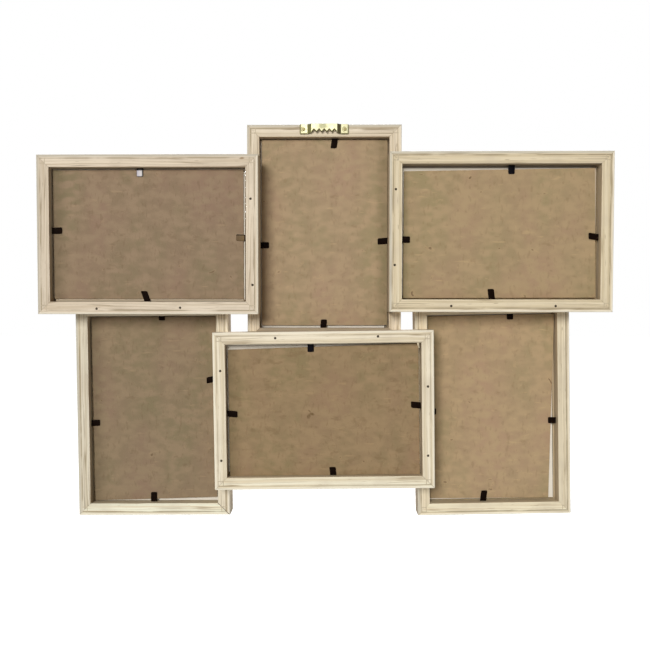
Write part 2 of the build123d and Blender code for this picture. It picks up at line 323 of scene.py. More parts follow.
def place_in(bench, seat):
    """The place on a piece, measured in the axes of a seat."""
    moved = bench.add("ShaderNodeMapping", vector_type="TEXTURE")
    moved.inputs["Location"].default_value = seat.translation
    moved.inputs["Rotation"].default_value = seat.to_euler()
    bench.join(object_place(bench), moved.inputs["Vector"])
    return moved.outputs[0]


def frame_place(bench, name):
    return place_in(bench, frame_seat(name))


# How open each mitre looks, at the rail's low and high end
OPEN_MITRES = {
    ("lower_left", "bottom"): (1.0, 0.1),
    ("lower_left", "right"): (0.1, 1.0),
    ("lower_centre", "bottom"): (0.35, 0.1),
    ("lower_centre", "right"): (0.1, 0.35),
}

# Palest wood, streaks and flecks of each frame: the stock's own tone, with the lower frames made paler
# as painted light
WOOD_TONES = {
    "upper_left": (srgb(240, 224, 200), srgb(207, 187, 158), srgb(148, 126, 97)),
    "upper_centre": (srgb(246, 231, 205), srgb(214, 196, 166), srgb(150, 128, 98)),
    "upper_right": (srgb(247, 232, 201), srgb(222, 204, 168), srgb(160, 138, 101)),
    "lower_left": (srgb(247, 236, 211), srgb(222, 207, 177), srgb(162, 142, 110)),
    "lower_centre": (srgb(249, 237, 211), srgb(226, 210, 178), srgb(162, 140, 106)),
    "lower_right": (srgb(249, 235, 205), srgb(228, 211, 177), srgb(164, 142, 108)),
}

# Rails that are darker or paler than the rest of their frame: partly their own tone, partly painted
# light that makes the lower bottom rails paler and some left rails darker
RAIL_SHADES = {
    ("upper_left", "left"): 0.92,
    ("upper_left", "right"): 1.04,
    ("lower_left", "left"): 0.87,
    ("lower_left", "bottom"): 1.16,
    ("lower_right", "right"): 0.94,
    ("lower_right", "bottom"): 1.1,
    ("lower_centre", "bottom"): 1.1,
    ("lower_centre", "top"): 1.04,
    ("lower_centre", "right"): 1.03,
}

# Strips of wood beside a frame above, with painted shade: how far they reach
SHADED_SEAMS = {
    ("upper_centre", "bottom"): 3.2 * MM,
    ("upper_centre", "right"): 2.6 * MM,
}

# Rails whose inner edge has painted shade: how far it reaches
SHADED_INNER_EDGES = {
    ("upper_right", "top"): 0.9 * MM,
    ("lower_centre", "top"): 1.3 * MM,
}


def edge_tones(b, colour, rail, outward, clouds, streak):
    """A rail's outer edge, a broken dark line beside it, and a faint line near the rabbet."""
    name, side = rail
    # Outer edge: greyer on top and left rails outside the lower centre frame; elsewhere a painted
    # highlight.
    if side in ("top", "left") and name != "lower_centre":
        outer_edge = b.fade(outward, LAND - 2.6 * MM, LAND - 1.4 * MM, 0, 0.6)
        colour = b.blend(outer_edge, colour, srgb(203, 198, 182))
    else:
        outer_edge = b.fade(outward, LAND - 2.0 * MM, LAND - 0.9 * MM, 0, 0.75)
        colour = b.blend(outer_edge, colour, srgb(255, 246, 224))
    strength = 0.45 if name == "lower_centre" else 0.8
    beside_edge = b.line(outward, LAND - 3.0 * MM, 0.25 * MM, 0.8 * MM, strength)
    broken = b.sum("MULTIPLY", beside_edge, b.fade(clouds, 0.36, 0.54, 0.15, 1))
    colour = b.blend(broken, colour, srgb(164, 146, 116))
    near_rabbet = b.line(outward, 0.9 * MM, 0.1 * MM, 0.45 * MM, 0.35)
    near_rabbet = b.sum("MULTIPLY", near_rabbet, b.fade(clouds, 0.5, 0.62))
    return b.blend(near_rabbet, colour, streak)


def wall_tones(b, colour, rail, depth, outward):
    """Painted shade on a rail's inner and outer walls, and along some inner edges."""
    # Painted shade on the inner wall, away from its edge
    inner_wall = b.fade(outward, -0.05 * MM, 0.25 * MM, 0.7, 0)
    inner_wall = b.sum("MULTIPLY", inner_wall, b.fade(depth, 0.1 * MM, 1.2 * MM))
    colour = b.blend(inner_wall, colour, srgb(172, 150, 118))
    # Painted shade along the inner edge of some rails
    if rail in SHADED_INNER_EDGES:
        edge_shade = b.fade(outward, 0.1 * MM, SHADED_INNER_EDGES[rail], 0.55, 0)
        colour = b.blend(edge_shade, colour, srgb(120, 106, 84))
    # Painted shade on the outer wall
    outer_wall = b.fade(depth, 1.0 * MM, 2.4 * MM, 0, 0.75)
    outer_wall = b.sum("MULTIPLY", outer_wall, b.fade(outward, LAND - 0.3 * MM, LAND - 0.05 * MM))
    return b.blend(outer_wall, colour, srgb(176, 154, 124))


def mitre_lines(b, colour, rail, along, outward, specks):
    """A thin ragged line along both mitres, darker where a mitre is open."""
    half = opening(*rail)[0] / 2
    to_mitre = b.sum("SUBTRACT", b.sum("ADD", half, outward), b.sum("ABSOLUTE", along))
    jag = b.sum("MULTIPLY", b.sum("SUBTRACT", specks, 0.5), 0.9 * MM)
    near = b.sum("ADD", b.sum("ABSOLUTE", to_mitre), jag)
    low, high = OPEN_MITRES.get(rail, (0.06, 0.06))
    open_share = b.fade(along, -1 * MM, 1 * MM, low, high)
    mitre = b.sum("MULTIPLY", b.fade(near, 0.12 * MM, 0.45 * MM, 1, 0), open_share)
    return b.blend(mitre, colour, srgb(84, 62, 36))


def seam_shade(b, colour, rail, outward):
    """Painted shade on a rail beside a frame above, on the right rail only as far as that frame goes."""
    height = b.parts(object_place(b))[2]
    beside = b.fade(height, -23 * MM, -21.4 * MM, 1, 0)
    if rail[1] == "right":
        beside = b.sum("MULTIPLY", beside, b.fade(height, -148 * MM, -146 * MM))
    reach = SHADED_SEAMS[rail]
    seam = b.sum("MULTIPLY", beside, b.fade(outward, reach, reach + 0.4 * MM, 0.7, 0))
    return b.blend(seam, colour, srgb(140, 122, 98))


def rail_wood(name, side, number):
    """Pale wood for one rail, with its grain along it and its mitres at both ends."""
    rail = (name, side)
    material, b, shader = new_material(f"pale_wood_{name}_{side}")
    place = place_in(b, rail_seat(name, side))
    along, depth, outward = b.parts(place)
    shade = RAIL_SHADES.get(rail, 1)
    pale, streak, fleck = (tinted(tone, shade, shade, shade) for tone in WOOD_TONES[name])
    stick = list(FRAMES).index(name) * 3.7
    grain = use_group(b, streaky_grain, Place=place, Seed=stick, Pale=pale, Streak=streak, Fleck=fleck)
    soil = use_group(b, soft_soiling, Place=place, Seed=number * 2.3)
    clouds, specks = soil.outputs["Clouds"], soil.outputs["Specks"]
    colour = grain.outputs["Colour"]
    colour = b.blend(b.fade(clouds, 0.45, 0.7, 0, 0.35), colour, srgb(200, 184, 160))
    colour = edge_tones(b, colour, rail, outward, clouds, streak)
    colour = wall_tones(b, colour, rail, depth, outward)
    colour = mitre_lines(b, colour, rail, along, outward, specks)
    # Painted shade beside a frame above
    if rail in SHADED_SEAMS:
        colour = seam_shade(b, colour, rail, outward)
    if name == "upper_left":
        smudge = near_spot(b, object_place(b), (-63.6, -19, -26.6), (3.4, 1, 1.1))
        ragged = b.sum("MULTIPLY", smudge, b.fade(specks, 0.35, 0.6, 0.2, 0.9))
        colour = b.blend(ragged, colour, srgb(150, 120, 84))
    b.join(colour, shader.inputs["Base Color"])
    b.join(grain.outputs["Roughness"], shader.inputs["Roughness"])
    b.join(bump(b, grain.outputs["Height"], 0.25 * MM, 0.6), shader.inputs["Normal"])
    shader.inputs["Specular IOR Level"].default_value = 0.2
    return material


def dress(node, material):
    """Give a carried-over piece its finish."""
    data = nodes[node].data
    if not data.materials:
        data.materials.append(material)
    for index in range(len(data.materials)):
        data.materials[index] = material


rails = [(frame_name, side) for frame_name in FRAMES for side in SIDES]
for number, (frame_name, side) in enumerate(rails, 1):
    dress(f"{frame_name}_rail_{side}", rail_wood(frame_name, side, number))

# Hardboard, paper and glass

BOARD_TONES = {
    "upper_left": srgb(145, 124, 99),
    "upper_centre": srgb(168, 145, 114),
    "upper_right": srgb(168, 145, 111),
    "lower_left": srgb(141, 122, 96),
    "lower_centre": srgb(150, 127, 95),
    "lower_right": srgb(173, 149, 115),
}


# Spots that make up a forked scuff on the lower centre board: place in X and Z, reach, and lean
SCUFF_SPOTS = [
    (-12.0, -228.9, (1.9, 2.9), 20),
    (-9.4, -226.9, (2.6, 1.5), 20),
    (-11.4, -224.6, (0.9, 2.0), -50),
]


def forked_scuff(b, colour, place, specks):
    """The scuff on the lower centre board, broken up by its specks."""
    for x, z, reach, lean in SCUFF_SPOTS:
        scuff = near_spot(b, place, (x, -13.8, z), (reach[0], 4, reach[1]), lean)
        scuff = b.sum("MULTIPLY", scuff, b.fade(specks, 0.35, 0.6, 0.9, 0.45))
        colour = b.blend(scuff, colour, srgb(100, 76, 46))
    return colour


def hardboard(name, tone, number):
    """Pressed brown fibre: olive and pink clouds, mottling, short strokes, a few dark spots, and painted
    shade beside one wall.
    """
    material, b, shader = new_material(f"hardboard_{name}")
    place = object_place(b)
    drawn = b.stretch(place, (1.4, 1, 0.6))
    soil = use_group(b, soft_soiling, Place=drawn, Seed=number * 3.1, Large=24.0, Small=310.0)
    olive, pink = tinted(tone, 0.91, 0.98, 0.9), tinted(tone, 1.07, 0.99, 1.05)
    colour = b.blend(b.fade(soil.outputs["Clouds"], 0.3, 0.7), olive, pink)
    mottle = b.noise(b.stretch(place, (110, 170, 170)), number * 5.9, detail=1, roughness=0.5)
    colour = b.blend(b.fade(mottle, 0.3, 0.66), tinted(tone, 1.14, 1.12, 1.1), colour)
    darker, lighter = tinted(tone, 0.74, 0.69, 0.63), tinted(tone, 1.34, 1.3, 1.24)
    colour = b.blend(b.fade(soil.outputs["Specks"], 0.55, 0.7, 0, 0.4), colour, darker)
    strokes = b.noise(b.stretch(place, (80, 380, 380)), number * 2.9, detail=1)
    colour = b.blend(b.fade(strokes, 0.66, 0.78, 0, 0.6), colour, lighter)
    blotches = b.noise(b.stretch(place, (110, 200, 200), (2, 6, 3)), number * 4.3, detail=3)
    least = 0.55 if name == "lower_centre" else 0.6
    colour = b.blend(b.fade(blotches, least, least + 0.14, 0, 0.5), colour, darker)
    if name == "lower_centre":
        colour = forked_scuff(b, colour, place, soil.outputs["Specks"])
    fibres = b.noise(b.stretch(place, (700, 1500, 1500)), number * 1.3, detail=3)
    colour = b.blend(b.fade(fibres, 0.5, 0.74, 0, 0.14), colour, lighter)
    spots = b.noise(place, number * 7.7, scale=120, detail=2, distortion=0.8)
    halo = b.fade(spots, 0.66, 0.71, 0, 0.4)
    colour = b.blend(halo, colour, lighter)
    colour = b.blend(b.fade(spots, 0.71, 0.76, 0, 0.7), colour, srgb(104, 82, 60))
    # Painted shade on the board beside one wall: the right wall in the upper centre frame, the left wall
    # in the others
    across = b.parts(frame_place(b, name))[0]
    half = opening(name, "top")[0] / 2
    if name == "upper_centre":
        wall_shade = b.fade(across, half - 13 * MM, half - 4 * MM)
    else:
        reach = 7 * MM if name == "upper_right" else 15 * MM
        wall_shade = b.fade(across, -half + 2 * MM, -half + reach, 1, 0)
    colour = b.blend(wall_shade, colour, b.blend(0.85, colour, (0.7, 0.72, 0.68, 1), "MULTIPLY"))
    b.join(colour, shader.inputs["Base Color"])
    b.join(b.fade(mottle, 0.3, 0.7, 0.62, 0.8), shader.inputs["Roughness"])
    height = b.sum("ADD", b.sum("MULTIPLY", fibres, 0.7), b.sum("MULTIPLY", soil.outputs["Specks"], 0.3))
    b.join(bump(b, height, 0.12 * MM, 0.6), shader.inputs["Normal"])
    shader.inputs["Specular IOR Level"].default_value = 0.15
    return material


for number, (frame_name, tone) in enumerate(BOARD_TONES.items(), 1):
    dress(f"{frame_name}_backing_board", hardboard(frame_name, tone, number))


# How far up each frame's sheet is free of painted shadow, which lies above it under the top rail
SHADED_ABOVE = {"upper_right": 50.7, "lower_centre": 51.8}


def white_sheet():
    """Bare white paper with faint fibres, brown margins and painted shadow under some top rails."""
    material, b, shader = new_material("white_sheet")
    place = object_place(b)
    soil = use_group(b, soft_soiling, Place=place, Seed=4.2, Large=18.0, Small=900.0)
    white, cream = srgb(238, 231, 216), srgb(232, 223, 206)
    colour = b.blend(b.fade(soil.outputs["Clouds"], 0.4, 0.7, 0, 0.5), white, cream)
    colour = b.blend(b.fade(soil.outputs["Specks"], 0.6, 0.8, 0, 0.25), colour, srgb(218, 208, 190))
    # Brown along the upper right sheet's right margin
    brown_right = inside_box(b, place, (209 * MM, -138 * MM), (216 * MM, -24 * MM), 1.2 * MM)
    colour = b.blend(b.sum("MULTIPLY", brown_right, 0.75), colour, srgb(176, 154, 124))
    # Brown along the upper left sheet's lower margin, darker towards the bottom
    brown_below = inside_box(b, place, (-218 * MM, -139 * MM), (-58 * MM, -135.9 * MM), 0.2 * MM)
    height = b.parts(place)[2]
    brown = b.blend(b.fade(height, -137.7 * MM, -136.3 * MM), srgb(134, 118, 94), srgb(206, 188, 160))
    colour = b.blend(b.sum("MULTIPLY", brown_below, 0.95), colour, brown)
    # Painted shadow on the sheet under the top rail
    for name, unshaded_to in SHADED_ABOVE.items():
        low, high = (-78 * MM, unshaded_to * MM), (78 * MM, 54 * MM)
        under_rail = inside_box(b, frame_place(b, name), low, high, 0.35 * MM)
        colour = b.blend(b.sum("MULTIPLY", under_rail, 0.85), colour, srgb(100, 86, 64))
    b.join(colour, shader.inputs["Base Color"])
    b.join(b.fade(soil.outputs["Specks"], 0.3, 0.7, 0.7, 0.86), shader.inputs["Roughness"])
    b.join(bump(b, soil.outputs["Specks"], 0.05 * MM, 0.5), shader.inputs["Normal"])
    return material


def clear_glass():
    """Clear picture glass with faint smears, which lets light through to the sheet behind it."""
    material, b, shader = new_material("clear_glass")
    path = b.add("ShaderNodeLightPath")
    through = b.add("ShaderNodeBsdfTransparent")
    through.inputs["Color"].default_value = (0.97, 0.98, 0.97, 1)
    both = b.add("ShaderNodeMixShader")
    passing = b.sum("MAXIMUM", path.outputs["Is Shadow Ray"], path.outputs["Is Diffuse Ray"])
    b.join(passing, both.inputs[0])
    b.join(shader.outputs[0], both.inputs[1])
    b.join(through.outputs[0], both.inputs[2])
    b.join(both.outputs[0], material.node_tree.get_output_node("ALL").inputs["Surface"])
    place = object_place(b)
    soil = use_group(b, soft_soiling, Place=place, Seed=9.4, Large=26.0, Small=300.0)
    shader.inputs["Base Color"].default_value = srgb(250, 253, 252)
    shader.inputs["Transmission Weight"].default_value = 1
    shader.inputs["IOR"].default_value = 1.5
    smears = b.sum("MULTIPLY", soil.outputs["Clouds"], soil.outputs["Specks"])
    b.join(b.fade(smears, 0.2, 0.5, 0.01, 0.07), shader.inputs["Roughness"])
    b.join(bump(b, soil.outputs["Clouds"], 0.02 * MM, 0.2), shader.inputs["Normal"])
    return material


paper = white_sheet()
dress("photo_inserts", paper)
dress("glass_panes", clear_glass())

# Metals


def metal(name, colour, rubbed_colour, roughness, metallic, number, specular):
    """Thin metal with rubbed patches and fine scratches: its material, bench, shader and colour."""
    material, b, shader = new_material(name)
    place = object_place(b)
    scuffs = use_group(b, scuffed_metal, Place=place, Seed=number * 1.9)
    rubbed = b.fade(scuffs.outputs["Rubbed"], 0.52, 0.75, 0, 0.6)
    shade = b.blend(rubbed, colour, rubbed_colour)
    b.join(shade, shader.inputs["Base Color"])
    low, high = roughness
    b.join(b.fade(scuffs.outputs["Rubbed"], 0.3, 0.7, low, high), shader.inputs["Roughness"])
    shader.inputs["Metallic"].default_value = metallic
    shader.inputs["Specular IOR Level"].default_value = specular
    b.join(bump(b, scuffs.outputs["Scratches"], 0.02 * MM, 0.35), shader.inputs["Normal"])
    return material, b, shader, shade


black_tab = metal("black_tab_coating", srgb(18, 9, 5), srgb(50, 32, 20), (0.5, 0.66), 0, 3, 0.02)[0]
blued_tab = metal("blued_tab_coating", srgb(11, 9, 13), srgb(36, 33, 44), (0.45, 0.6), 0, 8, 0.03)[0]
plain_steel = metal("plain_nail_steel", srgb(66, 56, 44), srgb(96, 84, 68), (0.5, 0.65), 0.4, 7, 0.2)


def tab_with_painted_reflection(name, reflection_box, reflected, coating, roughness):
    """A tab with a painted reflection inside a box, brighter towards its right, with its coating left
    round it.
    """
    material, b, shader, shade = metal(name, reflected, tinted(reflected, 1.12, 1.1, 1.08), roughness, 0, 5, 0.1)
    low, high = reflection_box
    x = b.parts(object_place(b))[0]
    shade = b.blend(b.fade(x, low[0], high[0]), shade, tinted(reflected, 1.25, 1.25, 1.1))
    reflection = inside_box(b, object_place(b), low, high, 0.25 * MM)
    b.join(b.blend(reflection, coating, shade), shader.inputs["Base Color"])
    return material


# Painted reflection of the white surroundings on the upper left frame's top tab
sky_reflection_box = ((-147.0 * MM, -39.5 * MM), (-142.9 * MM, -34.9 * MM))
sky_reflecting_tab = tab_with_painted_reflection("bright_tab_steel", sky_reflection_box, srgb(198, 193, 200), srgb(24, 16, 14), (0.3, 0.45))
# Painted brown reflection on the upper left frame's right tab
brown_reflection_box = ((-69.6 * MM, -90.2 * MM), (-62.7 * MM, -85.9 * MM))
brown_reflection, dark_coating = srgb(108, 88, 64), srgb(34, 24, 16)
brown_reflecting_tab = tab_with_painted_reflection("tab_painted_brown_reflection", brown_reflection_box, brown_reflection, dark_coating, (0.5, 0.65))


def brass_heads(material, b, shader, shade):
    """The two pins of the hanger are brass plated; all the nails lie lower."""
    height = b.parts(object_place(b))[2]
    brass = b.fade(height, -12 * MM, -10 * MM)
    b.join(b.blend(brass, shade, srgb(158, 146, 100)), shader.inputs["Base Color"])
    return material


# The corner nails lie under the dust and filler that was rubbed into the mitres
filler, rubbed_filler = srgb(206, 190, 160), srgb(188, 170, 140)
filled_nails = metal("filled_corner_nails", filler, rubbed_filler, (0.6, 0.75), 0, 9, 0.2)[0]

dress("nails", brass_heads(*plain_steel))
dress("tab_roots", black_tab)
dress("corner_nails", filled_nails)


def hanger_brass(half, pitch, tooth):
    """Pale brass plating: painted darker reflections in the middle and on the risers, painted shade on
    the teeth, and marks round the pins.
    """
    brass, rubbed_brass = srgb(226, 220, 176), srgb(214, 204, 156)
    material, b, shader, shade = metal("brass_plating", brass, rubbed_brass, (0.42, 0.56), 0.4, 2, 0.25)
    place = object_place(b)
    x, _, z = b.parts(place)
    # Painted darker reflection in the middle of the raised centre
    middle_reflection = near_spot(b, place, (-1.2, -2.2, 2.8), (5.4, 9, 3.4))
    colour = b.blend(b.sum("MULTIPLY", middle_reflection, 0.85), shade, srgb(140, 138, 104))
    from_middle = b.sum("ABSOLUTE", x)
    past_centre = b.fade(from_middle, half - 0.1 * MM, half + 0.3 * MM)
    before_ear = b.fade(from_middle, half + 3.0 * MM, half + 3.4 * MM, 1, 0)
    riser = b.sum("MULTIPLY", past_centre, before_ear)
    # Painted dark reflection on the risers, paler on the left and darker on the right
    riser_reflection = b.blend(b.fade(x, -12 * MM, 12 * MM), srgb(96, 92, 46), srgb(62, 52, 18))
    colour = b.blend(b.sum("MULTIPLY", riser, 0.95), colour, riser_reflection)
    # Painted shade on the lower parts of the teeth
    to_tip = b.sum("PINGPONG", b.sum("ADD", x, half), pitch / 2)
    edge = b.sum("MULTIPLY_ADD", to_tip, 2 * tooth / pitch, -tooth)
    teeth_shade = b.fade(b.sum("SUBTRACT", z, edge), 0.7 * MM, 1.4 * MM, 1, 0)
    teeth_shade = b.sum("MULTIPLY", teeth_shade, b.fade(from_middle, half - 0.2 * MM, half, 1, 0))
    colour = b.blend(teeth_shade, colour, srgb(66, 58, 20))
    for side in (-1, 1):
        pin = side * (half + 6.4 * MM)
        away = b.add("ShaderNodeVectorMath", operation="DISTANCE")
        b.join(b.stretch(place, (1, 0, 1)), away.inputs[0])
        away.inputs[1].default_value = (pin, 0, 0.6 * MM)
        ring = b.line(away.outputs["Value"], 2.0 * MM, 0.15 * MM, 0.6 * MM, 0.7)
        ring = b.sum("MULTIPLY", ring, b.fade(x, pin - 1.5 * MM, pin + MM, 1, 0.1))
        colour = b.blend(ring, colour, srgb(104, 96, 52))
    on_ear = b.fade(from_middle, half + 3.3 * MM, half + 3.6 * MM)
    low_edge = b.sum("MULTIPLY", b.fade(z, -2.7 * MM, -2.0 * MM, 0.9, 0), on_ear)
    left_edge = b.fade(x, -half - 8.6 * MM, -half - 7.9 * MM, 0.9, 0)
    right_edge = b.fade(x, half + 8.2 * MM, half + 8.9 * MM, 0, 0.8)
    rim = b.sum("MAXIMUM", low_edge, b.sum("MAXIMUM", left_edge, right_edge))
    colour = b.blend(rim, colour, srgb(88, 80, 44))
    b.join(colour, shader.inputs["Base Color"])
    return material


# Making pieces

# Turn that stands a new plane up to face the back
UPRIGHT = (math.pi / 2, 0, 0)

# A straight tab before it is stretched and slanted
TAB_WIDTH, TAB_THICKNESS, TAB_LENGTH = 5 * MM, 0.4 * MM, 7.2 * MM


def start_clean():
    if bpy.context.object and bpy.context.object.mode != "OBJECT":
        bpy.ops.object.mode_set(mode="OBJECT")
    bpy.ops.object.select_all(action="DESELECT")


def only(piece):
    start_clean()
    piece.select_set(True)
    bpy.context.view_layer.objects.active = piece


def pick(piece, kind, test):
    """Select the vertices, edges or faces whose centre passes the test, in edit mode."""
    bpy.ops.object.mode_set(mode="EDIT")
    bpy.ops.mesh.select_mode(type=kind)
    bpy.ops.mesh.select_all(action="DESELECT")
    bpy.ops.object.mode_set(mode="OBJECT")
    mesh = piece.data
    if kind == "VERT":
        for vertex in mesh.vertices:
            vertex.select = test(vertex.co)
    elif kind == "EDGE":
        for edge in mesh.edges:
            a, b = (mesh.vertices[i].co for i in edge.vertices)
            edge.select = test(a, b)
    else:
        for face in mesh.polygons:
            face.select = test(face.center, face.normal)
    bpy.ops.object.mode_set(mode="EDIT")


def cut(piece, place, normal):
    """Cut all the faces of a piece along a plane."""
    pick(piece, "FACE", lambda centre, face_normal: True)
    bpy.ops.mesh.bisect(plane_co=place, plane_no=normal)


def done(piece):
    """Back to object mode, with the place in the mesh and every modifier applied."""
    bpy.ops.object.mode_set(mode="OBJECT")
    only(piece)
    bpy.ops.object.transform_apply(location=True, rotation=True, scale=True)
    for modifier in list(piece.modifiers):
        bpy.ops.object.modifier_apply(modifier=modifier.name)


def rounded(piece, width, segments=2):
    edge = piece.modifiers.new("soft_edges", "BEVEL")
    edge.width = width
    edge.segments = segments
    edge.limit_method = "ANGLE"
    return edge


def make_flat_tab():
    """One straight tab: root roll at the origin, blade down along -Z, tip corners rounded."""
    start_clean()
    length, size = TAB_LENGTH, (TAB_WIDTH, TAB_THICKNESS, TAB_LENGTH)
    bpy.ops.mesh.primitive_cube_add(size=1, location=(0, 0, -length / 2), scale=size)
    tab = bpy.context.object
    tab.name = "flat_tab"
    bpy.ops.object.transform_apply(location=True, rotation=True, scale=True)
    for share in (0.12, 0.3, 0.5, 0.68, 0.84):
        cut(tab, (0, 0, -share * length), (0, 0, 1))
    tip = -length + 0.01 * MM
    pick(tab, "EDGE", lambda a, b: a.z < tip and b.z < tip and abs(a.x - b.x) < 1e-6)
    bpy.ops.mesh.bevel(offset=0.9 * MM, segments=5)
    for share, lift in ((0.3, 0.05), (0.5, 0.1), (0.68, 0.2), (0.84, 0.3), (0.93, 0.3)):
        pick(tab, "VERT", lambda place: place.z < -(share - 0.02) * length)
        bpy.ops.transform.translate(value=(0, -0.08 * MM * lift, 0))
    pick(tab, "EDGE", lambda a, b: a.z > -1e-7 and b.z > -1e-7 and abs(a.y - b.y) < 1e-7)
    bpy.ops.mesh.bevel(offset=0.18 * MM, segments=4)
    rounded(tab, 0.06 * MM)
    done(tab)
    bpy.ops.object.shade_smooth_by_angle(angle=math.radians(40))
    return tab


def hinge_seat(joint):
    """Axes of a tab's root: X along the rail, Y into the depth, Z outwards."""
    across = -Vector(joint["axis"])
    depth = Vector((0, 1, 0))
    seat = Matrix((across, depth, across.cross(depth))).transposed().to_4x4()
    return Matrix.Translation(joint["pos_m"]) @ seat


# Tabs that are not plain black: two with painted reflections, two with a bluish coating
TAB_FINISHES = {
    "upper_left_top_tab": sky_reflecting_tab,
    "upper_left_right_tab": brown_reflecting_tab,
    "upper_right_top_tab": blued_tab,
    "lower_centre_top_tab": blued_tab,
}


def set_tabs():
    """A bent tab in place of each flat one, as long and as leaning as its own."""
    flat_tab = make_flat_tab()
    for joint in frame["joints"]:
        body = joint["child"]
        frame_side = body[: -len("_tab")]
        name, side = frame_side.rsplit("_", 1)
        node = f"{name}_tab_{side}"
        seat = hinge_seat(joint)
        back = seat.inverted()
        places = [back @ v.co for v in nodes[node].data.vertices]
        reach = -min(p.z for p in places)
        tip = [p.x for p in places if p.z < -reach + 0.05 * MM]
        lean = (min(tip) + max(tip)) / 2
        shape = Matrix.Diagonal((1, 1, reach / TAB_LENGTH, 1))
        slant = Matrix.Identity(4)
        slant[0][2] = -lean / reach
        tab = flat_tab.copy()
        tab.data = flat_tab.data.copy()
        tab.name = f"{frame_side}_bent_tab"
        bpy.context.collection.objects.link(tab)
        tab.data.transform(seat @ slant @ shape)
        tab.data.update()
        tab.data.materials.clear()
        tab.data.materials.append(TAB_FINISHES.get(body, black_tab))
        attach(tab, body)
        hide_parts(node)
    bpy.data.objects.remove(flat_tab)


set_tabs()


def set_hanger():
    """Sawtooth hanger: a strip with two flat ears, two sloping risers and a toothed middle."""
    sheet, rise = 0.7 * MM, 1.8 * MM
    pitch, notches, tooth = 4.1 * MM, 5, 2.3 * MM
    half = notches * pitch / 2
    foot = half + 3.3 * MM
    end = foot + 6.2 * MM
    top, bottom = 4.6 * MM, -3.4 * MM
    start_clean()
    bpy.ops.mesh.primitive_plane_add(size=1, location=(0, 0, (top + bottom) / 2), rotation=UPRIGHT)
    hanger = bpy.context.object
    hanger.name = "bent_sawtooth_hanger"
    hanger.scale = (2 * end, top - bottom, 1)
    bpy.ops.object.transform_apply(location=True, rotation=True, scale=True)
    folds = [sign * x for sign in (-1, 1) for x in (foot, half)]
    folds += [-half + pitch * (step + 1) / 2 for step in range(2 * notches - 1)]
    for x in folds:
        cut(hanger, (x, 0, 0), (1, 0, 0))
    tips = [-half + pitch * step for step in range(notches + 1)]
    peaks = [-half + pitch * (step + 0.5) for step in range(notches)]

    def lowest_at(xs):
        return lambda place: place.z < bottom + 1e-6 and any(abs(place.x - x) < 0.05 * MM for x in xs)

    pick(hanger, "VERT", lowest_at(tips))
    bpy.ops.transform.translate(value=(0, 0, -tooth - bottom))
    pick(hanger, "VERT", lowest_at(peaks))
    bpy.ops.transform.translate(value=(0, 0, -bottom))
    pick(hanger, "VERT", lambda place: abs(place.x) < half + 0.05 * MM)
    bpy.ops.transform.translate(value=(0, -rise, 0))
    pick(hanger, "VERT", lambda place: abs(place.x) > end - 0.05 * MM)
    bpy.ops.mesh.bevel(offset=0.9 * MM, segments=4, affect="VERTICES")
    bpy.ops.object.mode_set(mode="OBJECT")
    mean_y = sum(face.normal.y for face in hanger.data.polygons)
    if mean_y > 0:
        pick(hanger, "FACE", lambda centre, normal: True)
        bpy.ops.mesh.flip_normals()
        bpy.ops.object.mode_set(mode="OBJECT")
    wall = hanger.modifiers.new("sheet", "SOLIDIFY")
    wall.thickness = sheet
    wall.offset = 1
    edge = rounded(hanger, 0.16 * MM, 3)
    edge.angle_limit = math.radians(20)
    done(hanger)
    bpy.ops.object.shade_smooth_by_angle(angle=math.radians(35))
    hanger.data.materials.append(hanger_brass(half, pitch, tooth))
    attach(hanger, "frame_assembly")
    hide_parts("sawtooth_hanger")


set_hanger()


def set_splinter():
    """Torn splinter of wood that hangs at the lower centre frame's upper right inner corner."""
    start_clean()
    place, size = (74.0 * MM, -18.4 * MM, -171.6 * MM), (2.0 * MM, 0.9 * MM, 5.2 * MM)
    bpy.ops.mesh.primitive_cube_add(size=1, location=place, scale=size)
    chip = bpy.context.object
    chip.name = "torn_splinter"
    bpy.ops.object.transform_apply(location=True, rotation=True, scale=True)
    for z in (-170.4, -171.7, -172.9, -173.7):
        cut(chip, (0, 0, z * MM), (0.25, 0, 1))
    pick(chip, "VERT", lambda place: place.z < -173.9 * MM)
    bpy.ops.transform.resize(value=(0.35, 0.5, 1))
    bpy.ops.transform.translate(value=(0.5 * MM, 0.1 * MM, 0))
    pick(chip, "VERT", lambda place: -173.3 * MM < place.z < -172.2 * MM)
    bpy.ops.transform.translate(value=(0.45 * MM, -0.1 * MM, 0))
    pick(chip, "VERT", lambda place: place.z > -169.2 * MM)
    bpy.ops.transform.translate(value=(-0.6 * MM, 0, 0.2 * MM))
    rounded(chip, 0.14 * MM)
    done(chip)
    bpy.ops.object.shade_smooth_by_angle(angle=math.radians(40))
    chip.data.materials.append(bpy.data.materials["pale_wood_lower_centre_right"])
    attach(chip, "frame_assembly")


set_splinter()


# Lengths that a sheet's narrow margin is cut into, so that it can wave
STRIP_PARTS = 12


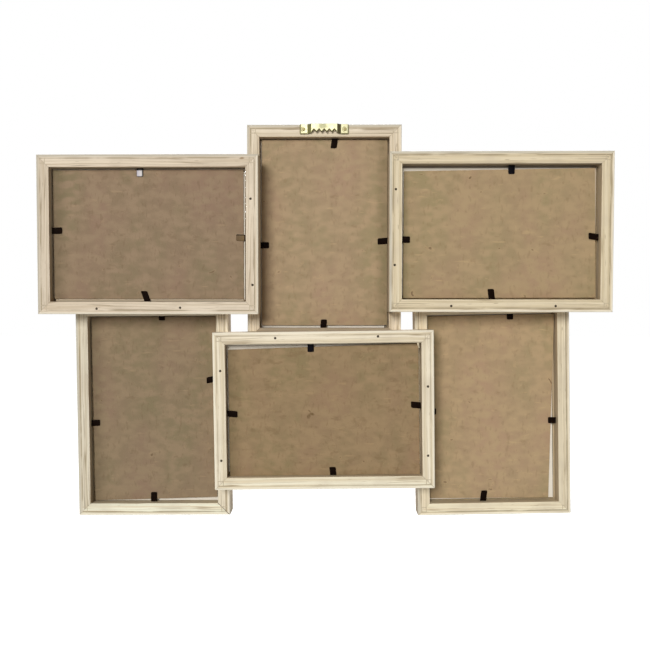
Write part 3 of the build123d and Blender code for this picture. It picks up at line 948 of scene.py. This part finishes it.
def sheet_strip(name, middle, size, axis):
    """Narrow wavy strip of a sheet's margin, in millimetres, its length along X (0) or Z (2)."""
    start_clean()
    place = [value * MM for value in middle]
    bpy.ops.mesh.primitive_plane_add(size=1, location=place, rotation=UPRIGHT)
    strip = bpy.context.object
    strip.name = name
    strip.scale = (size[0] * MM, size[1] * MM, 1)
    bpy.ops.object.transform_apply(location=True, rotation=True, scale=True)
    length = max(size)
    start = middle[axis] - length / 2
    run = Vector([float(axis == i) for i in range(3)])
    for step in range(1, STRIP_PARTS):
        row = start + step * length / STRIP_PARTS
        cut(strip, run * (row * MM), run)
    for step in range(STRIP_PARTS + 1):
        row = start + step * length / STRIP_PARTS
        pick(strip, "VERT", lambda place: abs(place[axis] - row * MM) < MM)
        sideways, deep = 0.06 * math.sin(row * 0.21), 0.16 * math.sin(row * 0.13 + 1)
        wave = (0, deep, sideways) if axis == 0 else (sideways, deep, 0)
        bpy.ops.transform.translate(value=[value * MM for value in wave])
    return strip


def finish_strip(strip):
    """Give a strip the sheet's thickness and finish."""
    sheet = strip.modifiers.new("sheet", "SOLIDIFY")
    sheet.thickness = 0.16 * MM
    sheet.offset = 0
    done(strip)
    bpy.ops.object.shade_smooth_by_angle(angle=math.radians(40))
    strip.data.materials.append(paper)
    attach(strip, "frame_assembly")


def set_sheet_margins():
    """The upper left sheet's right margin, curled up beside the board, and its brown lower one."""
    middle = FRAMES["upper_left"][0]
    wall = middle + LONG_OPENING / MM / 2
    right = sheet_strip("curled_sheet_edge", (wall - 1.9, -13.2, -86.4), (0.8, 100), 2)
    cut(right, ((wall - 2.0) * MM, 0, 0), (1, 0, 0))
    pick(right, "VERT", lambda place: place.x < (wall - 2.15) * MM)
    bpy.ops.transform.translate(value=(0, 0.8 * MM, 0))
    finish_strip(right)
    finish_strip(sheet_strip("brown_sheet_edge", (middle, -13.2, -137.05), (149, 1.7), 0))


set_sheet_margins()

# Floor, light and camera


def seen_directly(bench):
    """1 for what the camera sees itself, in reflections or through glass."""
    path = bench.add("ShaderNodeLightPath")
    seen = bench.sum("MAXIMUM", path.outputs["Is Camera Ray"], path.outputs["Is Glossy Ray"])
    return bench.sum("MAXIMUM", seen, path.outputs["Is Transmission Ray"])


def set_floor():
    """Plain pale floor, well below the part, which hangs from its hanger."""
    start_clean()
    bpy.ops.mesh.primitive_plane_add(size=30, location=(0, 0, -0.9))
    floor = bpy.context.object
    floor.name = "pale_floor"
    material = bpy.data.materials.new("pale_floor")
    material.use_nodes = True
    material.node_tree.nodes.clear()
    b = Bench(material.node_tree)
    matte = b.add("ShaderNodeBsdfDiffuse")
    matte.inputs["Color"].default_value = (0.5, 0.5, 0.5, 1)
    glow = b.add("ShaderNodeEmission")
    b.join(b.sum("MULTIPLY", seen_directly(b), 0.98), glow.inputs["Strength"])
    both = b.add("ShaderNodeAddShader")
    b.join(matte.outputs[0], both.inputs[0])
    b.join(glow.outputs[0], both.inputs[1])
    output = b.add("ShaderNodeOutputMaterial")
    b.join(both.outputs[0], output.inputs["Surface"])
    floor.data.materials.append(material)


def set_sky(strength):
    """White surroundings to the eye and in reflections, and a soft fill on the part."""
    world = bpy.data.worlds.new("white_studio")
    bpy.context.scene.world = world
    world.use_nodes = True
    world.node_tree.nodes.clear()
    b = Bench(world.node_tree)
    back = b.add("ShaderNodeBackground")
    back.inputs["Color"].default_value = (1, 1, 1, 1)
    b.join(b.fade(seen_directly(b), 0, 1, strength, 1), back.inputs["Strength"])
    output = b.add("ShaderNodeOutputWorld")
    b.join(back.outputs[0], output.inputs["Surface"])


def set_lamp(name, place, size, power):
    """Square soft lamp that is aimed at the middle of the part."""
    lamp = bpy.data.lights.new(name, "AREA")
    lamp.shape = "SQUARE"
    lamp.size = size
    lamp.energy = power
    holder = bpy.data.objects.new(name, lamp)
    bpy.context.scene.collection.objects.link(holder)
    holder.location = place
    to_middle = Vector((0, 0, -0.155)) - Vector(place)
    holder.rotation_euler = to_middle.to_track_quat("-Z", "Y").to_euler()


def set_camera():
    """The photograph's camera, fitted to the corners of all six frames."""
    focal_pixels, picture_pixels, sensor = 623.82, 650, 36
    camera = bpy.data.cameras.new("photo_camera")
    camera.sensor_width = sensor
    camera.lens = focal_pixels / picture_pixels * sensor
    holder = bpy.data.objects.new("photo_camera", camera)
    bpy.context.scene.collection.objects.link(holder)
    swing = Matrix.Rotation(math.radians(0.712), 4, "Z") @ Matrix.Rotation(math.radians(-1.709), 4, "X")
    swing = swing @ Matrix.Rotation(math.radians(-0.036), 4, "Y")
    look = swing @ Matrix.Rotation(math.pi / 2, 4, "X")
    holder.matrix_world = Matrix.Translation((7.0 * MM, -506.0 * MM, -141.63 * MM)) @ look
    bpy.context.scene.camera = holder


set_floor()
set_sky(0.1)
set_lamp("upper_left_softbox", (-1.5, -5.2, 1.755), 2.2, 244)
set_lamp("picture_side_softbox", (0.4, 2.6, 2.4), 1.8, 150)
set_camera()
bpy.context.scene.view_settings.view_transform = "Standard"
